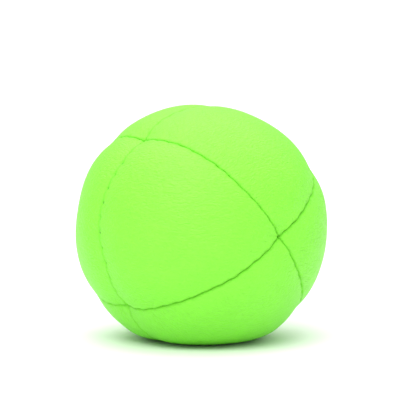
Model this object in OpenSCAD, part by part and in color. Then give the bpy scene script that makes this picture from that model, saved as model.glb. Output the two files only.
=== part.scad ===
// Sewn eight-panel juggling ball, filled with seed and settled on its own weight.
// The ball rests on z = 0, and the origin is the middle of its resting patch.
// It is laid out in a sewing frame whose z axis runs from the back pole to the front pole.
// Six junctions lie on that frame's axes, and twelve quarter-circle seams join them.

/* [Ball] */
// Width of the ball across its panels
ball_diameter = 68; // [60:1:76]
// How far the resting side has flattened
settle = 3.6; // [1.5:0.1:4]

/* [Leather] */
// Thickness of the panel leather
leather_thickness = 0.8; // [0.7:0.05:0.9]
// Width of the seam allowance that is turned into the ball
seam_allowance = 4; // [3:0.5:6]
// Distance of the stitching from the inside of the leather
stitch_depth = 0.9; // [0.7:0.1:1.2]
// Radius of the valley where two panels fold in to a seam
seam_valley = 0.6; // [0.3:0.05:0.65]

/* [Stitching] */
// Stitches along each quarter-circle seam
stitches_per_seam = 13; // [11:1:14]
// Diameter of the sewing thread
thread_diameter = 0.4; // [0.3:0.05:0.45]
// Machine stitches between the upper left junction and the hand-closed gap
closing_first = 2; // [1:1:4]
// Stitches in the hand-closed gap
closing_stitches = 8; // [6:2:8]

/* [Attitude] */
// Compass direction of the front pole
pole_azimuth = -50; // [-180:1:180]
// Lean of the front pole from upright
pole_lean = 89; // [60:1:120]
// Turn of the ball about its poles
pole_roll = 36; // [25:1:65]

/* [Hidden] */

leather_colour = [0.60, 0.98, 0.34];
needle_colour = [0.36, 0.74, 0.16];
bobbin_colour = [0.30, 0.64, 0.14];
closing_colour = [0.25, 0.52, 0.12];
seed_colour = [0.87, 0.74, 0.45];

ball_radius = ball_diameter / 2;
centre_height = ball_radius - settle;
beyond = 2 * ball_diameter;

// The six junctions, as directions in the sewing frame.
front_pole = [0, 0, 1];
back_pole = [0, 0, -1];
upper_left = [-1, 0, 0];
lower_right = [1, 0, 0];
lower_left = [0, -1, 0];
upper_right = [0, 1, 0];

// Thread: the stitches lie on the allowances, and rungs pass through the needle holes.
stitch_radius = thread_diameter / 2;
bend_radius = 1.2 * stitch_radius;
rung_radius = 0.85 * stitch_radius;
hole_radius = rung_radius + 0.03;
knot_radius = 1.1 * thread_diameter;
stitch_offset = leather_thickness + bend_radius + 0.01;
stitch_reach = ball_radius - leather_thickness - stitch_depth;
stitch_base = leather_thickness + stitch_depth;
ring_stitches = 4 * stitches_per_seam;
closing_last = closing_first + closing_stitches - 1;

// The allowances are clipped round each junction, so that a seam can run on across it.
corner_clip = norm([stitch_offset, leather_thickness]) + stitch_radius + 0.05;

// The seed keeps clear of the leather, and of the allowances with their thread.
seed_gap = 0.2;
groove_half_width = leather_thickness + 2 * knot_radius + seed_gap;

// Stands its children in the sewing frame, at the middle of the ball.
module sewing_frame() {
    translate([0, 0, centre_height])
        rotate([0, pole_lean, pole_azimuth])
            rotate([0, 0, pole_roll])
                children();
}

// Turns its children's x, y and z axes to three directions of the sewing frame.
module axes(a, b, c) {
    multmatrix([
        [a.x, b.x, c.x, 0],
        [a.y, b.y, c.y, 0],
        [a.z, b.z, c.z, 0],
        [0, 0, 0, 1]
    ])
        children();
}

// The settled ball, taken in by a depth all round.
module settled_ball(depth) {
    intersection() {
        translate([0, 0, centre_height])
            sphere(r = ball_radius - depth, $fn = 128);
        translate([-beyond / 2, -beyond / 2, depth])
            cube(beyond);
    }
}

// The eighth of space between three junctions, taken in from its seam planes.
module eighth(a, b, c, inset) {
    sewing_frame()
        axes(a, b, c)
            translate([inset, inset, inset])
                cube(beyond);
}

// Angle of a stitch from the seam's first junction.
function stitch_angle(i) = (i + 0.5) * 90 / stitches_per_seam;

// A stitch's direction in the sewing frame, on the seam from a towards b.
function stitch_direction(a, b, i) = a * cos(stitch_angle(i)) + b * sin(stitch_angle(i));

// How far a direction of the sewing frame points upwards.
function rise(u) =
    cos(pole_lean) * u.z - sin(pole_lean) * (cos(pole_roll) * u.x - sin(pole_roll) * u.y);

// Distance of the stitching from the middle of the ball: round, and flat over the base.
function reach_along(up) =
    up < 0 ? min(stitch_reach, (centre_height - stitch_base) / -up) : stitch_reach;

// A stitch's place in its seam plane.
function stitch_place(a, b, i) =
    reach_along(rise(stitch_direction(a, b, i)))
    * [cos(stitch_angle(i)), sin(stitch_angle(i)), 0];

// Stands its children in a seam plane, with x towards junction a and y towards junction b.
module seam_plane(a, b) {
    sewing_frame()
        axes(a, b, cross(a, b))
            children();
}

// Needle holes through both allowances of the seam from a to b.
module needle_holes(a, b) {
    seam_plane(a, b)
        for (i = [0 : stitches_per_seam - 1])
            translate(stitch_place(a, b, i))
                cylinder(r = hole_radius, h = 4 * leather_thickness, center = true, $fn = 24);
}

// Room round a junction where the allowances are clipped under the leather.
module junction_clip(a, b, c) {
    sewing_frame()
        axes(b, c, a)
            cylinder(r = corner_clip, h = ball_radius - leather_thickness - 0.2, $fn = 48);
}

// The valley that runs round the ball over the seam from a to b.
module seam_ring_valley(a, b) {
    seam_plane(a, b)
        rotate_extrude($fn = 128)
            translate([ball_radius, 0])
                circle(r = seam_valley, $fn = 24);
}

// One leather panel between three junctions, with its three edges turned in.
module panel(a, b, c) {
    difference() {
        intersection() {
            settled_ball(0);
            eighth(a, b, c, 0);
        }
        intersection() {
            settled_ball(leather_thickness);
            eighth(a, b, c, leather_thickness);
        }
        settled_ball(leather_thickness + seam_allowance);
        seam_ring_valley(a, b);
        seam_ring_valley(b, c);
        seam_ring_valley(c, a);
        junction_clip(a, b, c);
        junction_clip(b, c, a);
        junction_clip(c, a, b);
        needle_holes(a, b);
        needle_holes(b, c);
        needle_holes(c, a);
    }
}

// One straight stitch between two needle holes, ending inside the bend at each.
module straight_stitch(start, end) {
    along = end - start;
    translate((start + end) / 2)
        rotate([0, 90, atan2(along.y, along.x)])
            cylinder(r = stitch_radius, h = norm(along) - bend_radius / 2, center = true, $fn = 24);
}

// One thread of a lockstitched seam: stitches on one side, and a rung to the middle of each hole.
module lockstitch_thread(a, b, first, last, side) {
    lift = [0, 0, side * stitch_offset];
    seam_plane(a, b) {
        for (i = [first : last]) {
            translate(stitch_place(a, b, i) + lift)
                sphere(r = bend_radius, $fn = 24);
            translate(stitch_place(a, b, i) + (side > 0 ? [0, 0, 0] : lift))
                cylinder(r = rung_radius, h = stitch_offset, $fn = 24);
        }
        for (i = [first : last - 1])
            straight_stitch(stitch_place(a, b, i) + lift, stitch_place(a, b, i + 1) + lift);
    }
}

// A hand-sewn ladder: it crosses the seam at every hole and runs on along the other side.
module ladder_thread(a, b, first, last) {
    seam_plane(a, b) {
        for (i = [first : last]) {
            lift = [0, 0, (i - first) % 2 == 0 ? stitch_offset : -stitch_offset];
            here = stitch_place(a, b, i);
            translate(here)
                cylinder(r = rung_radius, h = 2 * stitch_offset, center = true, $fn = 24);
            if (i > first)
                translate(here - lift)
                    sphere(r = bend_radius, $fn = 24);
            if (i < last) {
                translate(here + lift)
                    sphere(r = bend_radius, $fn = 24);
                straight_stitch(here + lift, stitch_place(a, b, i + 1) + lift);
            }
        }
        ladder_knot(stitch_place(a, b, first), -1);
        ladder_knot(stitch_place(a, b, last), (last - first) % 2 == 0 ? 1 : -1);
    }
}

// The knot at an end of the ladder, against the allowance on one side.
module ladder_knot(place, side) {
    translate(place + [0, 0, side * (leather_thickness + knot_radius + 0.01)])
        sphere(r = knot_radius, $fn = 32);
}

// The leather panels, named as they lie when the front pole faces the viewer.
module front_left_panel() { color(leather_colour) panel(upper_left, lower_left, front_pole); }
module front_top_panel() { color(leather_colour) panel(upper_right, upper_left, front_pole); }
module front_right_panel() { color(leather_colour) panel(lower_right, upper_right, front_pole); }
module front_bottom_panel() { color(leather_colour) panel(lower_left, lower_right, front_pole); }
module back_left_panel() { color(leather_colour) panel(lower_left, upper_left, back_pole); }
module back_top_panel() { color(leather_colour) panel(upper_left, upper_right, back_pole); }
module back_right_panel() { color(leather_colour) panel(upper_right, lower_right, back_pole); }
module back_bottom_panel() { color(leather_colour) panel(lower_right, lower_left, back_pole); }

// One thread of a seam that joins two panels into a pair.
module pair_thread(a, b, side) {
    lockstitch_thread(a, b, 0, stitches_per_seam - 1, side);
}

// One thread of a seam that joins two pairs into half a ball.
module long_thread(pole, side) {
    lockstitch_thread(lower_left, pole, 0, 2 * stitches_per_seam - 1, side);
}

// One thread of the seam that joins the halves, with the gap that the seed goes in through.
module middle_thread(side) {
    lockstitch_thread(
        upper_left, lower_left, closing_last + 1, ring_stitches + closing_first - 1, side
    );
}

module front_upper_needle_thread() { color(needle_colour) pair_thread(upper_left, front_pole, 1); }
module front_upper_bobbin_thread() { color(bobbin_colour) pair_thread(upper_left, front_pole, -1); }
module front_lower_needle_thread() { color(needle_colour) pair_thread(lower_right, front_pole, 1); }
module front_lower_bobbin_thread() { color(bobbin_colour) pair_thread(lower_right, front_pole, -1); }
module front_long_needle_thread() { color(needle_colour) long_thread(front_pole, 1); }
module front_long_bobbin_thread() { color(bobbin_colour) long_thread(front_pole, -1); }
module back_upper_needle_thread() { color(needle_colour) pair_thread(upper_left, back_pole, 1); }
module back_upper_bobbin_thread() { color(bobbin_colour) pair_thread(upper_left, back_pole, -1); }
module back_lower_needle_thread() { color(needle_colour) pair_thread(lower_right, back_pole, 1); }
module back_lower_bobbin_thread() { color(bobbin_colour) pair_thread(lower_right, back_pole, -1); }
module back_long_needle_thread() { color(needle_colour) long_thread(back_pole, 1); }
module back_long_bobbin_thread() { color(bobbin_colour) long_thread(back_pole, -1); }
module middle_needle_thread() { color(needle_colour) middle_thread(1); }
module middle_bobbin_thread() { color(bobbin_colour) middle_thread(-1); }

module closing_thread() {
    color(closing_colour)
        ladder_thread(upper_left, lower_left, closing_first, closing_last);
}

// A groove in the seed round one great circle of seams.
module seam_groove(normal_turn) {
    sewing_frame()
        rotate(normal_turn)
            cube([beyond, beyond, 2 * groove_half_width], center = true);
}

// The loose seed, as the one body that it fills.
module seed_filling() {
    color(seed_colour)
        difference() {
            settled_ball(leather_thickness + seed_gap);
            difference() {
                union() {
                    seam_groove([0, 0, 0]);
                    seam_groove([90, 0, 0]);
                    seam_groove([0, 90, 0]);
                }
                settled_ball(leather_thickness + seam_allowance + seed_gap);
            }
        }
}

front_left_panel();
front_top_panel();
front_right_panel();
front_bottom_panel();
back_left_panel();
back_top_panel();
back_right_panel();
back_bottom_panel();
front_upper_needle_thread();
front_upper_bobbin_thread();
front_lower_needle_thread();
front_lower_bobbin_thread();
front_long_needle_thread();
front_long_bobbin_thread();
back_upper_needle_thread();
back_upper_bobbin_thread();
back_lower_needle_thread();
back_lower_bobbin_thread();
back_long_needle_thread();
back_long_bobbin_thread();
middle_needle_thread();
middle_bobbin_thread();
closing_thread();
seed_filling();
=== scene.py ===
"""The looks of a sewn juggling ball: leather panels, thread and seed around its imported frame.

Shapes are worked out in millimetres and turned into metres when a mesh is made.
The sewing frame has its z axis from the back pole to the front pole, and its three
coordinate planes cut the ball along its seams.
"""

import math

import bpy
import numpy as np
from mathutils import Matrix, Vector


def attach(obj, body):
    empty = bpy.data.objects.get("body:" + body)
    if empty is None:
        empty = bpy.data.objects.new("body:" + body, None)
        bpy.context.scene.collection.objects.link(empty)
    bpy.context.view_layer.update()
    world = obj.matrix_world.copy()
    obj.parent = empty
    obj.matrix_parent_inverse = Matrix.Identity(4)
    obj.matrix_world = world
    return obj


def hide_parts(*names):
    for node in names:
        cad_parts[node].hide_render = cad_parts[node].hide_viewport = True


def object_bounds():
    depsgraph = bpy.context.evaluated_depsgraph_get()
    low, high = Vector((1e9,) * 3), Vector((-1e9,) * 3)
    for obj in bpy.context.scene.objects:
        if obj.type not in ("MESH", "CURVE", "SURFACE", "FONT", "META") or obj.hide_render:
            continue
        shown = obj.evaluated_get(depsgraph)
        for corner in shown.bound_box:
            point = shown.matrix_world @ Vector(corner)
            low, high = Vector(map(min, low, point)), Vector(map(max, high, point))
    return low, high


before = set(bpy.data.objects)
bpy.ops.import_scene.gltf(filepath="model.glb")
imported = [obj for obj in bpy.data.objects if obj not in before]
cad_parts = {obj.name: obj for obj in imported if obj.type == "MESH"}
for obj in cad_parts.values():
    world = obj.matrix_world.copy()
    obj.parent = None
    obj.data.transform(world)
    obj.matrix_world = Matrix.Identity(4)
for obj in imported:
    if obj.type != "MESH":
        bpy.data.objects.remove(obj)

MM = 0.001
TINY = 1e-9
CAD_LOW, CAD_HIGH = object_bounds()
RADIUS = (CAD_HIGH.x - CAD_LOW.x) / 2 / MM
CENTRE = np.array([0, 0, CAD_HIGH.z / MM - RADIUS])

# How the ball has come to lie: the compass direction and lean of its front pole, and its turn.
POLE_AZIMUTH, POLE_LEAN, POLE_ROLL = -50, 89, 36

# Leather, in millimetres. The turned-in edges are trimmed where the seams meet.
THICKNESS = 0.8
ALLOWANCE = 4.0
TRIMMED_ALLOWANCE = 1.0
TRIM_LENGTH, TRIM_FADE = 1.6, 2.6
CONTACT_GAP = 0.01

# How far the leather puffs out between seams, and dips where seams cross, in millimetres.
PUFF = 0.3
JUNCTION_DIP, JUNCTION_DIP_WIDTH = 0.7, 4.0
JUNCTION_PIT, JUNCTION_PIT_WIDTH = 0.9, 0.8

# How softly the ball's side turns into its flat base, and how its top sags, in millimetres.
SOFT_BASE = 3.2
TOP_SAG, TOP_SAG_DEPTH = 0.35, 20

# Stitches in each short seam, and the first and last stitch of the hand-closed gap.
STITCHES = 13
CLOSING_FIRST, CLOSING_LAST = 2, 9
PITCH = math.pi / 2 * RADIUS / STITCHES

# Seams lie in the planes x = 0 (the long seams), y = 0 (the pairs) and z = 0 (the middle).
# Each has its broad dip, the bend radius where its leather turns in, how far the two turned edges
# press into each other, its scallops, and how much painted shade darkens the leather down in it.
SEAM_DIP = (0.42, 0.36, 0.55)
SEAM_DIP_WIDTH = 5.0
SEAM_FOLD = (0.70, 0.62, 0.85)
SEAM_PRESS = (0.04, 0.06, 0.33)
SEAM_SCALLOP = (0.10, 0.06, 0.09)
SEAM_SHADE = (0.67, 0.42, 0.36)
SEAM_SHADE_WIDTH = 0.52
SCALLOP_WIDTH = 1.3

# Each stitch pulls in a short pucker, and the leather swells between stitches. In millimetres.
PUCKER, HAND_PUCKER = 0.18, 0.22
PUCKER_LENGTH, PUCKER_WIDTH = 0.55, 0.7
STITCH_SWELL, STITCH_SWELL_REACH = 0.05, 2.2

# Scallops grow and shrink along a seam: their mean and swing, then the waves of the swing.
# A wave is its turn for each stitch and for each seam plane.
SCALLOP_MEAN, SCALLOP_SWING = 0.7, 0.5
SCALLOP_WAVES = ((0.61, 2.3), (1.37, 1))
SCALLOP_FADE = 6

# Slight bends of the seams: how far in millimetres, then the wave.
SEAM_BENDS = ((0.12, 0.83, 1.7), (0.08, 1.9, 1))
SEAM_BEND_REACH = 4

JUNCTIONS = {
    "front_pole": (0, 0, 1),
    "back_pole": (0, 0, -1),
    "upper_left": (-1, 0, 0),
    "lower_right": (1, 0, 0),
    "lower_left": (0, -1, 0),
    "upper_right": (0, 1, 0),
}
PANELS = {
    "front_left_panel": ("upper_left", "lower_left", "front_pole"),
    "front_top_panel": ("upper_right", "upper_left", "front_pole"),
    "front_right_panel": ("lower_right", "upper_right", "front_pole"),
    "front_bottom_panel": ("lower_left", "lower_right", "front_pole"),
    "back_left_panel": ("lower_left", "upper_left", "back_pole"),
    "back_top_panel": ("upper_left", "upper_right", "back_pole"),
    "back_right_panel": ("upper_right", "lower_right", "back_pole"),
    "back_bottom_panel": ("lower_right", "lower_left", "back_pole"),
}

# Where the sewing has wandered: near which junction or seam, and how far, in mm of the sewing frame.
# Here and below, an angle says how wide a place is, in radians.
WANDERED = [
    (("upper_left",), (0, -1.0, 0.3)),
    (("upper_left", "lower_left"), (0, 0, -2.5)),
    (("front_pole", "upper_right"), (1.2, 0, 0)),
    (("front_pole", "lower_right"), (0, 1.4, 0)),
]
WANDER_ANGLE = 0.35

# Where the seams are drawn so tight that they hardly show and carry less painted shade: a direction
# in the sewing frame.
TIGHT_PLACE = (0, -1, -0.3)
TIGHT_ANGLE = 0.6
TIGHT_PRESS, TIGHT_FADE = 0.12, 0.5

# Places that the seed doesn't fill out, and one that it fills more: a direction in the row frame
# and how far the leather lies in from round, in mm.
SLACK = [
    ((-0.99, 0, 0.16), 0.45),
    ((-0.63, 0, -0.78), 0.4),
    ((0.41, 0.1, 0.9), 0.35),
    ((0.95, 0, 0.3), -0.25),
]
SLACK_ANGLE = 0.22

TURN = np.array(
    Matrix.Rotation(math.radians(POLE_AZIMUTH), 3, "Z")
    @ Matrix.Rotation(math.radians(POLE_LEAN), 3, "Y")
    @ Matrix.Rotation(math.radians(POLE_ROLL), 3, "Z")
)


# ---------------------------------------------------------------- the shape of the cover


def unit(v):
    """Each row of v at length 1."""
    return v / np.linalg.norm(v, axis=-1, keepdims=True)


def smooth_step(x):
    """0 below 0, 1 above 1, and a smooth rise between."""
    x = np.clip(x, 0, 1)
    return x * x * (3 - 2 * x)


def bell(x, width):
    """1 at 0, falling away smoothly over a width."""
    return np.exp(-((x / width) ** 2))


def angle_from(directions, place):
    """The angle of each direction from a place on the ball."""
    return np.arccos(np.clip(directions @ place, -1, 1))


def from_seam(directions, plane):
    """Distance over the ball from the ring of seams in one plane, in millimetres."""
    return RADIUS * np.arcsin(np.clip(np.abs(directions[:, plane]), 0, 1))


def stitch_phase(directions, plane):
    """How many stitches along its seam each direction is. Stitches lie at the halves."""
    along = np.arctan2(directions[:, (plane + 2) % 3], directions[:, (plane + 1) % 3])
    return along / (math.pi / 2) * STITCHES


def from_stitch(phase):
    """Distance along the seam from the nearest stitch, in millimetres."""
    return (phase - np.floor(phase) - 0.5) * PITCH


def hand_sewn(directions):
    """1 along the hand-closed gap of the middle seam, fading to 0 over a stitch at each end."""
    from_upper_left = np.arctan2(-directions[:, 1], -directions[:, 0]) / (math.pi / 2) * STITCHES
    rise = smooth_step(from_upper_left - CLOSING_FIRST + 0.5)
    return rise * smooth_step(CLOSING_LAST + 1.5 - from_upper_left)


def drawn_tight(directions):
    """1 where the seams are drawn tightest, falling away to 0."""
    return bell(angle_from(directions, unit(np.array(TIGHT_PLACE, float))), TIGHT_ANGLE)


def relief(directions):
    """Height of the leather's outer side above the plain ball, in millimetres."""
    height = np.full(len(directions), PUFF)
    tighter = TIGHT_PRESS * drawn_tight(directions)
    for plane in range(3):
        away = from_seam(directions, plane)
        phase = stitch_phase(directions, plane)
        height -= SEAM_DIP[plane] * bell(away, SEAM_DIP_WIDTH)
        swell = np.cos(2 * math.pi * phase) * np.exp(-away / STITCH_SWELL_REACH)
        height += STITCH_SWELL * swell
        depth = PUCKER + (HAND_PUCKER * hand_sewn(directions) if plane == 2 else 0)
        height -= depth * bell(from_stitch(phase), PUCKER_LENGTH) * bell(away, PUCKER_WIDTH)
        radius, press = SEAM_FOLD[plane], SEAM_PRESS[plane] + tighter
        over = np.clip(radius - away - press, 0, radius)
        height -= radius - np.sqrt(radius * radius - over * over)
    for junction in JUNCTIONS.values():
        away = RADIUS * angle_from(directions, np.array(junction))
        height -= JUNCTION_DIP * bell(away, JUNCTION_DIP_WIDTH)
        height -= JUNCTION_PIT * bell(away, JUNCTION_PIT_WIDTH)
    for place, depth in SLACK:
        angle = angle_from(directions @ TURN.T, unit(np.array(place)))
        height -= depth * bell(angle, SLACK_ANGLE)
    return height


def seam_shade(directions):
    """How much painted shade darkens the leather, from 0 to 1, down in a seam."""
    shades = [SEAM_SHADE[p] * bell(from_seam(directions, p), SEAM_SHADE_WIDTH) for p in range(3)]
    return np.max(shades, axis=0) * (1 - TIGHT_FADE * drawn_tight(directions))


def wandered(directions):
    """Directions with the seams' scallops, slight bends and drift put in."""
    moved = directions.copy()
    for plane in range(3):
        away = from_seam(directions, plane)
        phase = stitch_phase(directions, plane)
        swing = [np.sin(turn * phase + start * plane) for turn, start in SCALLOP_WAVES]
        uneven = SCALLOP_MEAN + SCALLOP_SWING * swing[0] * swing[1]
        scallop = SEAM_SCALLOP[plane] * uneven * np.sin(2 * math.pi * phase)
        bend = sum(far * np.sin(turn * phase + start * plane) for far, turn, start in SEAM_BENDS)
        shift = scallop * bell(away, SCALLOP_WIDTH) + bend * np.exp(-away / SEAM_BEND_REACH)
        fade = smooth_step(SCALLOP_FADE * np.abs(np.sin(math.pi * phase / STITCHES)))
        moved[:, plane] += fade * shift / RADIUS
    for names, move in WANDERED:
        place = unit(sum(np.array(JUNCTIONS[name], float) for name in names))
        share = bell(angle_from(directions, place), WANDER_ANGLE)
        moved += share[:, None] * np.array(move) / RADIUS
    return unit(moved)


def settled(points, depth):
    """Points in millimetres, flattened softly where the ball rests, and a little at its top."""
    up = points[:, 2] - depth
    # This rounds off the corner that a plain maximum of the height and the floor would leave.
    overlap = np.clip(1 - np.abs(up) / SOFT_BASE, 0, None)
    sag = TOP_SAG * smooth_step(1 - (CAD_HIGH.z / MM - up) / TOP_SAG_DEPTH)
    points[:, 2] = np.maximum(up, 0) + SOFT_BASE / 4 * overlap**2 + depth - sag
    return points


def placed(directions, height, depth):
    """Where points lie, in metres in the row frame.

    height is over the plain ball, and depth is how far under the outer side of the leather.
    """
    points = (RADIUS + height)[:, None] * wandered(directions) + swelling(directions)
    return settled(points @ TURN.T + CENTRE, depth) * MM


def inset(directions, octant, clearance, height):
    """Directions of points at a height that keep a clearance from the planes of an octant."""
    corner = clearance * octant
    reach = RADIUS + height
    along = directions @ corner
    # How far along each direction from the corner a point reaches its height.
    k = -along + np.sqrt(along**2 - corner @ corner + reach**2)
    return unit(corner + k[:, None] * directions)


# ---------------------------------------------------------------- cloth simulation

# The cover has SIM_GRID steps along each seam, and SIM_SCALE units to a millimetre. Its moves
# are capped at SIM_CAP mm and blurred over SIM_BLUR mm, and the leather takes SIM_SHARE of them.
SIM_GRID = 32
SIM_SCALE = 0.01
SIM_FRAMES = 20
SIM_CAP = 1.0
SIM_SHARE = 0.35
SIM_BLUR = 1.6

# The blur takes SIM_BATCH points at a time, and the simulated points that lie on their side of
# the ball: the cosine of the angle from their middle is over SIM_NEAR.
SIM_BATCH = 2000
SIM_NEAR = 0.2

# The least and greatest share of the seams' full pull at one point.
SEAM_PULL = (0.6, 1)


def cover_grid():
    """A whole cover of triangles with its edges along the seams, and each point's grid steps."""
    n = SIM_GRID
    places, faces = {}, []

    def corner(octant, i, j, k):
        """The number of the point at these grid steps, which octants share along the seams."""
        key = (octant[0] * i, octant[1] * j, octant[2] * k)
        return places.setdefault(key, len(places))

    for octant in np.ndindex(2, 2, 2):
        signs = [1 - 2 * s for s in octant]
        order = 1 if signs[0] * signs[1] * signs[2] > 0 else -1
        for i in range(n):
            for j in range(n - i):
                k = n - i - j
                lower = [(i, j, k), (i + 1, j, k - 1), (i, j + 1, k - 1)]
                faces.append([corner(signs, *p) for p in lower][::order])
                if k > 1:
                    upper = [(i + 1, j, k - 1), (i + 1, j + 1, k - 2), (i, j + 1, k - 1)]
                    faces.append([corner(signs, *p) for p in upper][::order])
    steps = np.array(list(places), float)
    return steps, unit(np.sin(math.pi / 2 * steps / n)), faces


def make_cloth(cover, on_seam):
    """Makes the cover a cloth that is blown up while its seams shrink a little unevenly."""
    seams = cover.vertex_groups.new(name="seams")
    draw = np.random.default_rng(5)
    pulls = draw.uniform(*SEAM_PULL, len(on_seam))
    for i, pull in zip(on_seam.tolist(), pulls.tolist()):
        seams.add([i], pull, "REPLACE")

    cloth = cover.modifiers.new("cloth", "CLOTH").settings
    cloth.quality = 8
    cloth.mass = 0.2
    cloth.effector_weights.gravity = 0
    cloth.use_pressure = True
    cloth.uniform_pressure_force = 4
    cloth.tension_stiffness = 40
    cloth.compression_stiffness = 40
    cloth.shear_stiffness = 20
    cloth.bending_stiffness = 2
    cloth.vertex_group_shrink = "seams"
    cloth.shrink_min = 0
    cloth.shrink_max = 0.08


def simulate_cover():
    """Inflates the sewn cover with its seams drawn tight. Returns directions and moves in mm."""
    steps, directions, faces = cover_grid()
    mesh = bpy.data.meshes.new("cover_sim")
    mesh.from_pydata((directions * RADIUS * SIM_SCALE).tolist(), [], faces)
    cover = bpy.data.objects.new("cover_sim", mesh)
    scene = bpy.context.scene
    scene.collection.objects.link(cover)
    make_cloth(cover, np.flatnonzero((steps == 0).any(axis=1)))
    for step in range(1, SIM_FRAMES + 1):
        scene.frame_set(step)
    shown = cover.evaluated_get(bpy.context.evaluated_depsgraph_get())
    ends = np.array([v.co for v in shown.data.vertices], float) / SIM_SCALE
    scene.frame_set(1)
    bpy.data.objects.remove(cover)

    moves = ends - directions * RADIUS
    moves -= np.sum(moves * directions, axis=1).mean() * directions
    size = np.linalg.norm(moves, axis=1, keepdims=True)
    return directions, moves * SIM_SHARE * np.minimum(1, SIM_CAP / np.maximum(size, TINY))


SIM = simulate_cover()


def swelling(directions):
    """How far the simulated cover moves near each direction, blurred a little, in millimetres."""
    if SIM is None:
        return np.zeros_like(directions)
    moves = np.empty_like(directions)
    at, by = SIM
    sharpness = (RADIUS / SIM_BLUR) ** 2
    for start in range(0, len(directions), SIM_BATCH):
        batch = slice(start, start + SIM_BATCH)
        some = directions[batch]
        near = (at @ unit(some.mean(axis=0))) > SIM_NEAR
        weight = np.exp(sharpness * (some @ at[near].T - 1))
        moves[batch] = weight @ by[near] / weight.sum(axis=1, keepdims=True)
    return moves


# ---------------------------------------------------------------- meshes


def mesh_piece(name, points, faces, materials):
    """A smooth-shaded mesh object made from points in metres."""
    mesh = bpy.data.meshes.new(name)
    mesh.from_pydata(points.tolist(), [], faces)
    mesh.shade_smooth()
    for material in materials:
        mesh.materials.append(material)
    piece = bpy.data.objects.new(name, mesh)
    bpy.context.scene.collection.objects.link(piece)
    return piece


def add_attribute(piece, name, values):
    """Stores a number or a vector for each point of a mesh."""
    kind, field = ("FLOAT", "value") if values.ndim == 1 else ("FLOAT_VECTOR", "vector")
    attribute = piece.data.attributes.new(name, kind, "POINT")
    attribute.data.foreach_set(field, values.astype(np.float32).ravel())


def band(first, second):
    """The faces between two closed rows of point numbers."""
    n = len(first)
    return [(first[i], second[i], second[(i + 1) % n], first[(i + 1) % n]) for i in range(n)]


def fan(tip, row):
    """The faces from one point to a closed row of point numbers."""
    n = len(row)
    return [(tip, row[i], row[(i + 1) % n]) for i in range(n)]


def closed_skin(rows, first_tip, last_tip):
    """The faces over closed rows of point numbers, one after another, with a tip at each end."""
    faces = []
    for first, second in zip(rows, rows[1:]):
        faces += band(first, second)
    return faces + fan(first_tip, rows[0]) + fan(last_tip, rows[-1][::-1])


# ---------------------------------------------------------------- leather panels

# Points along each edge of a panel, and rows of points on its sides and its turned-in walls.
EDGE_POINTS = 176
OUTER_RINGS = 34
INNER_RINGS = 12
WALL_ROWS = 7

# The spacing of the rows at a panel's edge, where they are closest, as a share of even spacing.
RING_SPREAD = 0.12


def edge_directions(corners):
    """Directions evenly along the three edges of a panel, as one closed row."""
    angles = np.arange(EDGE_POINTS) / EDGE_POINTS * math.pi / 2
    rows = []
    for a, b in zip(corners, np.roll(corners, -1, axis=0)):
        rows.append(np.outer(np.cos(angles), a) + np.outer(np.sin(angles), b))
    return np.concatenate(rows)


def skin(edge, middle, octant, rings, clearance, depth):
    """Rows of points of one side of a panel's leather, from its edge to its middle."""
    rows, folds = [], []
    for ring in range(rings):
        x = ring / rings
        share = RING_SPREAD * x + (1 - RING_SPREAD) * x**3
        direction = unit(edge * (1 - share) + middle * share)
        direction = inset(direction, octant, clearance, relief(direction) - depth)
        rows.append(placed(direction, relief(direction) - depth, depth))
        # Painted shade for each row: how much darker the leather is painted down in the seams.
        folds.append(seam_shade(direction))
    return rows, folds


def turned_in(edge, corners):
    """How far each point of a panel's edge is turned in, in millimetres."""
    from_corner = RADIUS * np.arccos(np.clip((edge @ corners.T).max(axis=1), -1, 1))
    rise = smooth_step((from_corner - TRIM_LENGTH) / TRIM_FADE)
    return TRIMMED_ALLOWANCE + (ALLOWANCE - TRIMMED_ALLOWANCE) * rise


def turned_edge(edge, octant, depth, outer, inner):
    """Rows of points round a panel's turned-in edge, from its outer side to its inner side."""
    low = relief(edge) - depth
    low_outer = placed(inset(edge, octant, CONTACT_GAP, low), low, depth)
    low_inner = placed(inset(edge, octant, THICKNESS, low), low, depth)
    shares = np.arange(1, WALL_ROWS) / WALL_ROWS
    contact_wall = [outer * (1 - s) + low_outer * s for s in shares]
    inner_wall = [low_inner * (1 - s) + inner * s for s in shares]
    return contact_wall + [low_outer, low_inner] + inner_wall


def panel(name, corners, materials):
    """One closed piece of leather: outer side, the three edges turned in, and inner side."""
    corners = np.array([JUNCTIONS[c] for c in corners], float)
    if np.linalg.det(corners) < 0:
        corners = corners[::-1]
    octant = corners.sum(axis=0)
    middle = unit(octant)
    edge = edge_directions(corners)
    outer, outer_folds = skin(edge, middle, octant, OUTER_RINGS, CONTACT_GAP, 0)
    inner, _ = skin(edge, middle, octant, INNER_RINGS, THICKNESS, THICKNESS)
    rows = outer[::-1]
    rows += turned_edge(edge, octant, turned_in(edge, corners), outer[0], inner[0])
    rows += inner
    tips = [placed(middle[None], relief(middle[None]) - d, d) for d in (0, THICKNESS)]
    points = np.concatenate(rows + tips)

    n = len(edge)
    numbers = [list(range(i * n, (i + 1) * n)) for i in range(len(rows))]
    faces = closed_skin(numbers, len(points) - 2, len(points) - 1)
    piece = mesh_piece(name, points, faces, materials)
    backing = np.arange(len(faces)) >= (OUTER_RINGS + WALL_ROWS) * n
    backing[-2 * n : -n] = False
    piece.data.polygons.foreach_set("material_index", backing.astype(np.int32))
    # Painted shade: none at the middle tips, the seams' painted shade on the outer side, and full
    # painted shade on the turned-in edges and inner side, where shade falls.
    fold = np.ones(len(points))
    fold[: OUTER_RINGS * n] = np.concatenate(outer_folds[::-1])
    fold[-2:] = 0
    add_attribute(piece, "fold", fold)
    add_attribute(piece, "cut_place", cut_place(points, middle))
    return piece


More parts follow.
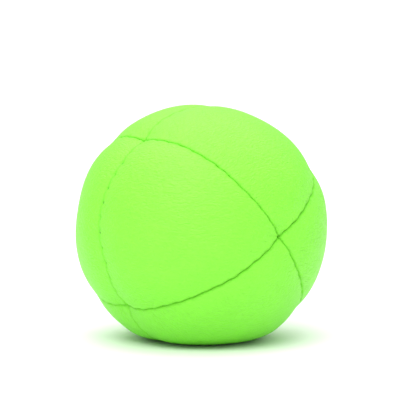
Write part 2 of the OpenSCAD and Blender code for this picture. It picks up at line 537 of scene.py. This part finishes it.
def cut_place(points, middle):
    """Each point's place on the flat leather, in mm, with y level, as the grain runs."""
    out = TURN @ middle
    along = unit(np.cross([0, 0, 1], out))
    across = np.cross(along, out)
    from_centre = points / MM - CENTRE
    distance = np.linalg.norm(from_centre, axis=1)
    angle = np.arccos(np.clip(from_centre @ out / distance, -1, 1))
    sideways = from_centre - np.outer(from_centre @ out, out)
    sideways = sideways / np.maximum(np.linalg.norm(sideways, axis=1, keepdims=True), TINY)
    flat = sideways * (angle * RADIUS)[:, None]
    return np.stack([flat @ across, flat @ along, distance - RADIUS], axis=1)


# ---------------------------------------------------------------- thread

# In millimetres. A thread runs at THREAD_DEPTH under the leather's outer side.
THREAD_RADIUS = 0.19
THREAD_SIDES = 12
THREAD_STEP = 0.17
PLIES, PLY_RELIEF, TWIST_PER_MM = 3, 0.14, 0.5
THREAD_DEPTH = 1.1
THREAD_GAP = 0.02
THREAD_OFFSET = THICKNESS + THREAD_RADIUS + THREAD_GAP
HOLE_STRAND, HOLE_EASE = 0.21, 0.3

# The hand-sewn rungs: how deep they cross the seam, how unevenly and how far to each side, and
# the turn of the unevenness for each stitch.
RUNG_DEPTH, RUNG_UNEVEN, RUNG_REACH = 0.02, 0.14, 0.3
RUNG_TURN = 2.4

# Knots, and how a thread's corners are rounded: how often, and how much of each side is cut.
KNOT_TURNS, KNOT_STEPS, KNOT_RADIUS = 3, 8, 0.3
CORNER_CUTS, CORNER_CUT = 3, 0.25

# Each run of sewing: the junction it is counted from, the one it heads for, and its first and
# last stitch.
RUNS = {
    "front_upper": ("upper_left", "front_pole", 0, STITCHES - 1),
    "front_lower": ("lower_right", "front_pole", 0, STITCHES - 1),
    "front_long": ("lower_left", "front_pole", 0, 2 * STITCHES - 1),
    "back_upper": ("upper_left", "back_pole", 0, STITCHES - 1),
    "back_lower": ("lower_right", "back_pole", 0, STITCHES - 1),
    "back_long": ("lower_left", "back_pole", 0, 2 * STITCHES - 1),
    "middle": ("upper_left", "lower_left", CLOSING_LAST + 1, 4 * STITCHES + CLOSING_FIRST - 1),
}


def lockstitch(first, last, side):
    """A machine thread's turning points: mm along the seam, mm beside it, and mm deep.

    It lies on one allowance, and goes into each needle hole to loop with the other thread.
    """
    far, near = side * THREAD_OFFSET, side * HOLE_STRAND
    path = [(first * PITCH, far, THREAD_DEPTH)]
    for stitch in range(first, last + 1):
        hole = (stitch + 0.5) * PITCH
        before, after = hole - HOLE_STRAND, hole + HOLE_STRAND
        path += [(before - HOLE_EASE, far, THREAD_DEPTH), (before, far, THREAD_DEPTH)]
        path += [(before, near, THREAD_DEPTH), (after, near, THREAD_DEPTH)]
        path += [(after, far, THREAD_DEPTH), (after + HOLE_EASE, far, THREAD_DEPTH)]
    path.append(((last + 1) * PITCH, far, THREAD_DEPTH))
    return path


def knot(along, side):
    """Turns of thread pulled up against one allowance."""
    turns = []
    for step in range(KNOT_TURNS * KNOT_STEPS + 1):
        angle = 2 * math.pi * step / KNOT_STEPS
        x, y = KNOT_RADIUS * math.cos(angle), KNOT_RADIUS * math.sin(angle)
        drop = 2 * THREAD_RADIUS * step / KNOT_STEPS
        turns.append((along + x, side * (THREAD_OFFSET + KNOT_RADIUS) + y, THREAD_DEPTH + drop))
    return turns


def ladder(first, last):
    """The closing thread's turning points: it crosses the seam near its face at every hole."""
    path, side = knot((first + 0.5) * PITCH, -1)[::-1], -1
    for stitch in range(first, last + 1):
        hole = (stitch + 0.5) * PITCH
        top = RUNG_DEPTH + RUNG_UNEVEN * math.sin(RUNG_TURN * stitch)
        middle_depth = (THREAD_DEPTH + top) / 2
        path.append((hole, side * THREAD_OFFSET, THREAD_DEPTH))
        path.append((hole, side * 2 * RUNG_REACH, middle_depth))
        path += [(hole, side * RUNG_REACH, top), (hole, -side * RUNG_REACH, top)]
        path.append((hole, -side * 2 * RUNG_REACH, middle_depth))
        path.append((hole, -side * THREAD_OFFSET, THREAD_DEPTH))
        side = -side
    return path + knot((last + 0.5) * PITCH, side)


def rounded(path):
    """A path with its corners rounded, in even steps."""
    path = np.array(path, float)
    for _ in range(CORNER_CUTS):
        early = path[:-1] * (1 - CORNER_CUT) + path[1:] * CORNER_CUT
        late = path[:-1] * CORNER_CUT + path[1:] * (1 - CORNER_CUT)
        inner = np.stack([early, late], axis=1).reshape(-1, 3)
        path = np.concatenate([path[:1], inner, path[-1:]])
    lengths = np.concatenate([[0], np.cumsum(np.linalg.norm(np.diff(path, axis=0), axis=1))])
    steps = np.linspace(0, lengths[-1], int(lengths[-1] / THREAD_STEP) + 1)
    return np.stack([np.interp(steps, lengths, path[:, i]) for i in range(3)], axis=1)


def beside_seam(a, b, path):
    """Where the points of a path beside the seam from a towards b lie, in metres."""
    angle = path[:, 0] / RADIUS
    in_seam = np.outer(np.cos(angle), a) + np.outer(np.sin(angle), b)
    reach = RADIUS + relief(in_seam) - path[:, 2]
    points = in_seam * reach[:, None] + np.outer(path[:, 1], np.cross(a, b))
    out = np.linalg.norm(points, axis=1)
    return placed(points / out[:, None], out - RADIUS, path[:, 2])


def thread(name, a, b, path, material):
    """A twisted thread of three plies along a path, as one closed tube."""
    a, b = np.array(JUNCTIONS[a], float), np.array(JUNCTIONS[b], float)
    line = beside_seam(a, b, rounded(path))
    along = unit(np.gradient(line, axis=0))
    sideways = unit(np.cross(along, line - CENTRE * MM))
    out = np.cross(sideways, along)
    around = np.arange(THREAD_SIDES) / THREAD_SIDES * 2 * math.pi
    run = np.arange(len(line)) * THREAD_STEP
    lobes = PLIES * (around[None] - 2 * math.pi * TWIST_PER_MM * run[:, None])
    radius = THREAD_RADIUS * MM * (1 - PLY_RELIEF / 2 + PLY_RELIEF / 2 * np.cos(lobes))
    spokes = np.cos(around)[None, :, None] * out[:, None] + (
        np.sin(around)[None, :, None] * sideways[:, None]
    )
    rings = line[:, None] + radius[:, :, None] * spokes
    points = np.concatenate([rings.reshape(-1, 3), line[:1], line[-1:]])
    numbers = np.arange(len(line) * THREAD_SIDES).reshape(-1, THREAD_SIDES)[:, ::-1].tolist()
    faces = closed_skin(numbers, len(points) - 2, len(points) - 1)
    piece = mesh_piece(name, points, faces, [material])
    turn = np.concatenate([np.broadcast_to(lobes / PLIES, radius.shape).ravel(), [0, 0]])
    place = np.concatenate([np.repeat(run, THREAD_SIDES), [0, run[-1]]])
    add_attribute(piece, "thread_place", np.stack([place, np.cos(turn), np.sin(turn)], axis=1))
    return piece


# ---------------------------------------------------------------- seed

# In millimetres. The middles of the single seeds lie in a shell SEED_SHELL deep.
SEED_RADIUS = 0.95
SEED_SPACING = 1.8
SEED_SHELL = 0.4
SEED_TRIES = 1_600_000
SEED_SIDES, SEED_BANDS = 7, 4
SEED_SHAPE = (1.0, 0.93, 0.84)
SEED_SIZES = (0.88, 1.0)
FILLING_GAP = 0.3
GROOVE_HALF_WIDTH = 1.9
CORE_ROWS, CORE_COLUMNS = 48, 96
CORE_DEPTH = 1.3 * SEED_RADIUS
CORE_SHADE = 0.2


def filling_depth(points):
    """How deep points of the sewing frame lie inside the filling, in millimetres."""
    out = np.linalg.norm(points, axis=1)
    under_leather = RADIUS - THICKNESS - FILLING_GAP - out
    under_seams = under_leather - ALLOWANCE
    from_seams = np.abs(points).min(axis=1) - GROOVE_HALF_WIDTH
    return np.minimum(under_leather, np.maximum(under_seams, from_seams))


def seed_places(draw):
    """The middles of the filling's outer seeds, strewn over it without touching."""
    points = draw.uniform(-RADIUS, RADIUS, (SEED_TRIES, 3))
    depth = filling_depth(points) - SEED_RADIUS
    kept, cells = [], {}
    around = list(np.ndindex(3, 3, 3))
    for point in points[(depth > 0) & (depth < SEED_SHELL)].tolist():
        cell = [math.floor(c / SEED_SPACING) for c in point]
        near = []
        for i, j, k in around:
            near += cells.get((cell[0] + i - 1, cell[1] + j - 1, cell[2] + k - 1), [])
        if all(math.dist(point, other) > SEED_SPACING for other in near):
            kept.append(point)
            cells.setdefault(tuple(cell), []).append(point)
    return np.array(kept)


def round_form(bands, sides):
    """Directions and faces of a closed round form: two tips and the rows between them."""
    points = [(0, 0, 1)]
    for row in range(1, bands):
        down = math.pi * row / bands
        for i in range(sides):
            turn = 2 * math.pi * (i + row / 2) / sides
            across = math.sin(down)
            points.append((across * math.cos(turn), across * math.sin(turn), math.cos(down)))
    points.append((0, 0, -1))
    rows = [list(range(1 + r * sides, 1 + (r + 1) * sides)) for r in range(bands - 1)]
    return np.array(points, float), closed_skin(rows, 0, len(points) - 1)


def placed_inside(points):
    """Where points of the sewing frame inside the cover lie, in metres."""
    out = np.linalg.norm(points, axis=1)
    return placed(points / out[:, None], out - RADIUS, RADIUS - out)


def filling(name, material):
    """The seed in the ball: single seeds all over its outside, on a core of the rest."""
    draw = np.random.default_rng(11)
    middles = seed_places(draw)
    count = len(middles)
    turns = np.linalg.qr(draw.normal(size=(count, 3, 3)))[0]
    sizes = SEED_RADIUS * draw.uniform(*SEED_SIZES, (count, 1, 1)) * np.array(SEED_SHAPE)
    form, form_faces = round_form(SEED_BANDS, SEED_SIDES)
    seeds = (form[None] * sizes) @ turns * MM + placed_inside(middles)[:, None]

    core, core_faces = round_form(CORE_ROWS, CORE_COLUMNS)
    inside = RADIUS - THICKNESS - FILLING_GAP - CORE_DEPTH
    groove = inside * np.abs(core).min(axis=1) < GROOVE_HALF_WIDTH + SEED_RADIUS
    core = placed_inside(core * np.where(groove, inside - ALLOWANCE, inside)[:, None])

    points = np.concatenate([seeds.reshape(-1, 3), core])
    starts = (np.arange(count) * len(form)).tolist()
    faces = [tuple(start + i for i in face) for start in starts for face in form_faces]
    faces += [tuple(count * len(form) + i for i in face) for face in core_faces]
    piece = mesh_piece(name, points, faces, [material])
    shade = np.repeat(draw.uniform(0, 1, count), len(form))
    add_attribute(piece, "seed_shade", np.concatenate([shade, np.full(len(core), CORE_SHADE)]))
    return piece


# ---------------------------------------------------------------- materials

# Colours. Where there are two, a texture varies between them.
LEATHER = (0.192, 0.735, 0.028, 1), (0.244, 0.837, 0.042, 1)
# Painted shade: the darker colour the leather is given down in the seams and on its turned-in walls.
LEATHER_PAINTED_SEAM_SHADE = (0.120, 0.540, 0.004, 1)
BACKING = (0.62, 0.66, 0.58, 1), (0.80, 0.82, 0.76, 1)
NEEDLE_THREAD = (0.10, 0.42, 0.03, 1), (0.16, 0.58, 0.05, 1)
BOBBIN_THREAD = (0.08, 0.34, 0.02, 1), (0.14, 0.50, 0.04, 1)
CLOSING_THREAD = (0.06, 0.28, 0.01, 1), (0.10, 0.40, 0.02, 1)
SEED = (0.42, 0.24, 0.06, 1), (0.85, 0.68, 0.30, 1)
SEED_SPECKLE = (0.80, 0.74, 0.62, 1)

# Roughness, from least to most where a texture varies it.
LEATHER_ROUGHNESS, ROUGHNESS_IN_SEAM = (0.42, 0.54), 0.85
BACKING_ROUGHNESS = 0.9
NEEDLE_ROUGHNESS, BOBBIN_ROUGHNESS = (0.5, 0.7), (0.55, 0.75)
SEED_ROUGHNESS = (0.32, 0.55)


class Maker:
    """Makes a material out of nodes around its Principled shader."""

    def __init__(self, name):
        """Starts a new material."""
        self.material = bpy.data.materials.new(name)
        self.material.use_nodes = True
        self.tree = self.material.node_tree
        self.shader = self.tree.nodes["Principled BSDF"]

    def fill(self, node, inputs):
        """Sets each named input of a node to a value, or links it to another node's output."""
        for key, value in inputs.items():
            if isinstance(value, bpy.types.NodeSocket):
                self.tree.links.new(value, node.inputs[key])
            else:
                node.inputs[key].default_value = value

    def node(self, kind, output, inputs, **settings):
        """Adds a node and returns one of its outputs."""
        node = self.tree.nodes.new("ShaderNode" + kind)
        for key, value in settings.items():
            setattr(node, key, value)
        self.fill(node, inputs)
        return node.outputs[output]

    def attribute(self, name, output):
        """A number or vector that the mesh's points carry."""
        return self.node("Attribute", output, {}, attribute_name=name)

    def mix(self, kind, factor, first, second, **settings):
        """Goes from the first value or colour to the second."""
        inputs = {"Factor": factor, "A": first, "B": second}
        return self.node("Mix", "Result", inputs, data_type=kind, **settings)

    def spread(self, value, low, high):
        """Brings a texture's 0 to 1 to a narrower range."""
        inputs = {"Value": value, "To Min": low, "To Max": high}
        return self.node("MapRange", "Result", inputs)

    def bump(self, height, strength, distance, under=None):
        """Relief that is too fine for the mesh, on top of other relief if there is any."""
        inputs = {"Height": height, "Strength": strength, "Distance": distance}
        if under is not None:
            inputs["Normal"] = under
        return self.node("Bump", "Normal", inputs)


def leather_material():
    """Lime green synthetic leather with a fine soft grain."""
    make = Maker("panel_leather")
    place, fold = make.attribute("cut_place", "Vector"), make.attribute("fold", "Fac")
    pebbles = {"Vector": place, "Scale": 1.7, "Smoothness": 0.6}
    pebble = make.node("TexVoronoi", "Distance", pebbles, feature="SMOOTH_F1")
    stretched = make.node("Mapping", "Vector", {"Vector": place, "Scale": (2.0, 0.85, 1)})
    creases = {"Vector": stretched, "Scale": 1.0, "Detail": 2, "Distortion": 0.5}
    crease = make.node("TexNoise", "Fac", creases)
    grain = make.node("MapRange", "Result", {"Value": crease, "From Min": 0.3, "From Max": 0.7})
    clouds = {"Vector": place, "Scale": 0.11, "Detail": 4, "Roughness": 0.6}
    cloud = make.node("TexNoise", "Fac", clouds)

    colour = make.mix("RGBA", make.mix("FLOAT", 0.4, cloud, grain), *LEATHER)
    rough = make.spread(grain, *LEATHER_ROUGHNESS)
    fine = make.bump(pebble, 0.5, 0.00008)
    make.fill(make.shader, {
        # Painted shade: the leather's colour darkens down in the seams, and its roughness rises
        # there.
        "Base Color": make.mix("RGBA", fold, colour, LEATHER_PAINTED_SEAM_SHADE),
        "Roughness": make.mix("FLOAT", fold, rough, ROUGHNESS_IN_SEAM),
        "Normal": make.bump(grain, 0.8, 0.0002, fine),
        "Specular IOR Level": 0.45,
    })
    return make.material


def backing_material():
    """The off-white knitted backing of the leather."""
    make = Maker("leather_backing")
    rows = {"Vector": make.attribute("cut_place", "Vector"), "Scale": 0.5, "Distortion": 1.5}
    knit = make.node("TexWave", "Fac", rows, wave_type="BANDS", bands_direction="DIAGONAL")
    make.fill(make.shader, {
        "Base Color": make.mix("RGBA", knit, *BACKING),
        "Roughness": BACKING_ROUGHNESS,
        "Normal": make.bump(knit, 0.6, 0.00015),
    })
    return make.material


def thread_material(name, colours, roughness):
    """Twisted thread, lighter on its raised fibres, with a fine fuzz."""
    make = Maker(name)
    place = make.attribute("thread_place", "Vector")
    fibres = {"Vector": place, "Scale": 2.6, "Detail": 4, "Roughness": 0.65}
    fibre = make.node("TexNoise", "Fac", fibres)
    make.fill(make.shader, {
        "Base Color": make.mix("RGBA", fibre, *colours),
        "Roughness": make.spread(fibre, *roughness),
        "Normal": make.bump(fibre, 0.5, 0.00004),
        "Sheen Weight": 0.2,
    })
    return make.material


def seed_material():
    """Dry millet, each seed its own shade from straw to tan."""
    make = Maker("seed")
    place = make.node("TexCoord", "Object", {})
    husk = make.node("TexNoise", "Fac", {"Vector": place, "Scale": 1400, "Detail": 3})
    colour = make.mix("RGBA", make.attribute("seed_shade", "Fac"), *SEED)
    make.fill(make.shader, {
        "Base Color": make.mix("RGBA", husk, colour, SEED_SPECKLE, blend_type="MULTIPLY"),
        "Roughness": make.spread(husk, *SEED_ROUGHNESS),
        "Normal": make.bump(husk, 0.4, 0.00005),
    })
    return make.material


# ---------------------------------------------------------------- stage, lights and camera

# The stage is in metres.
FLOOR_REACH = 3.0
FLOOR_DROP = 0.00002
FLOOR_COLOUR = (0.88, 0.88, 0.88, 1)

# The sky's strength at each height, from 0 level with the ball to 1 overhead.
SKY = ((0.08, 0.75), (0.15, 0.40), (0.55, 0.9), (1.0, 2.3))

# Each light's name, place, width, height and power in watts.
LIGHTS = (
    ("key_light", (-0.14, -0.50, 0.64), 0.7, 0.3, 3.0),
    ("back_light", (0, 0.45, 0.75), 1.2, 0.5, 1.2),
)


def make_sky():
    """White light: a pale backdrop low down, dim above it, and strong from overhead."""
    world = bpy.data.worlds.new("studio")
    bpy.context.scene.world = world
    world.use_nodes = True
    nodes, link = world.node_tree.nodes, world.node_tree.links.new
    direction = nodes.new("ShaderNodeTexCoord").outputs["Generated"]
    split = nodes.new("ShaderNodeSeparateXYZ")
    link(direction, split.inputs["Vector"])
    ramp = nodes.new("ShaderNodeValToRGB")
    link(split.outputs["Z"], ramp.inputs["Fac"])
    strongest = max(strength for _, strength in SKY)
    stops = ramp.color_ramp.elements
    while len(stops) < len(SKY):
        stops.new(1)
    for stop, (height, strength) in zip(stops, SKY):
        stop.position = height
        stop.color = (strength / strongest,) * 3 + (1,)
    link(ramp.outputs["Color"], nodes["Background"].inputs["Color"])
    nodes["Background"].inputs["Strength"].default_value = strongest


def make_floor():
    """A plain white floor."""
    mesh = bpy.data.meshes.new("floor")
    signs = [(-1, -1), (1, -1), (1, 1), (-1, 1)]
    corners = [(FLOOR_REACH * x, FLOOR_REACH * y, -FLOOR_DROP) for x, y in signs]
    mesh.from_pydata(corners, [], [(0, 1, 2, 3)])
    floor = bpy.data.objects.new("floor", mesh)
    bpy.context.scene.collection.objects.link(floor)
    make = Maker("floor")
    paint = {"Base Color": FLOOR_COLOUR, "Roughness": 0.8, "Specular IOR Level": 0.1}
    make.fill(make.shader, paint)
    mesh.materials.append(make.material)


def area_light(name, place, width, height, power):
    """A soft wide light that points at the ball."""
    lamp_data = bpy.data.lights.new(name, "AREA")
    lamp_data.shape = "RECTANGLE"
    lamp_data.size, lamp_data.size_y = width, height
    lamp_data.energy = power
    lamp = bpy.data.objects.new(name, lamp_data)
    bpy.context.scene.collection.objects.link(lamp)
    lamp.location = place
    aim = Vector(CENTRE * MM) - Vector(place)
    lamp.rotation_mode = "QUATERNION"
    lamp.rotation_quaternion = aim.to_track_quat("-Z", "Y")


# In metres, but for the lens. The camera aims a little above and left of the ball's middle.
CAMERA_DISTANCE = 0.8
CAMERA_ELEVATION = math.radians(7)
CAMERA_LENS = 263.5
AIM_ABOVE = 0.00765
AIM_LEFT = 0.00025


def make_camera():
    """The camera, a little above the ball's middle, which it shows below the middle of the view."""
    back = Vector((0, -math.cos(CAMERA_ELEVATION), math.sin(CAMERA_ELEVATION)))
    up = Vector((0, math.sin(CAMERA_ELEVATION), math.cos(CAMERA_ELEVATION)))
    centre = Vector(CENTRE * MM)
    camera = bpy.data.objects.new("camera", bpy.data.cameras.new("camera"))
    bpy.context.scene.collection.objects.link(camera)
    camera.location = centre + back * CAMERA_DISTANCE
    aim = centre + up * AIM_ABOVE - Vector((AIM_LEFT, 0, 0))
    camera.rotation_mode = "QUATERNION"
    camera.rotation_quaternion = (aim - camera.location).to_track_quat("-Z", "Y")
    camera.data.lens = CAMERA_LENS
    camera.data.clip_start = 0.01
    bpy.context.scene.camera = camera


# ---------------------------------------------------------------- the whole ball


def stand_for(piece, node):
    """Puts a finished piece in the place of its CAD node."""
    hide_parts(node)
    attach(piece, "root")


def make_filling():
    """The seed inside the ball."""
    seed = filling("seed_filling_seeds", seed_material())
    stand_for(seed, "seed_filling")
    return seed


def make_panels(resting_on):
    """The eight leather panels. resting_on is not used."""
    leather, backing = leather_material(), backing_material()
    for node, corners in PANELS.items():
        piece = panel(node + "_leather", corners, [leather, backing])
        stand_for(piece, node)


def make_threads():
    """Two machine threads in each run of sewing, and the thread that closes the gap by hand."""
    needle = thread_material("needle_thread", NEEDLE_THREAD, NEEDLE_ROUGHNESS)
    bobbin = thread_material("bobbin_thread", BOBBIN_THREAD, BOBBIN_ROUGHNESS)
    closing = thread_material("closing_thread", CLOSING_THREAD, NEEDLE_ROUGHNESS)
    for run, (a, b, first, last) in RUNS.items():
        for kind, side, material in (("needle", 1, needle), ("bobbin", -1, bobbin)):
            node = f"{run}_{kind}_thread"
            piece = thread(node + "_strand", a, b, lockstitch(first, last, side), material)
            stand_for(piece, node)
    path = ladder(CLOSING_FIRST, CLOSING_LAST)
    piece = thread("closing_thread_strand", "upper_left", "lower_left", path, closing)
    stand_for(piece, "closing_thread")


bpy.context.scene.view_settings.view_transform = "Standard"
make_camera()
make_sky()
make_floor()
for light in LIGHTS:
    area_light(*light)
make_panels(make_filling())
make_threads()
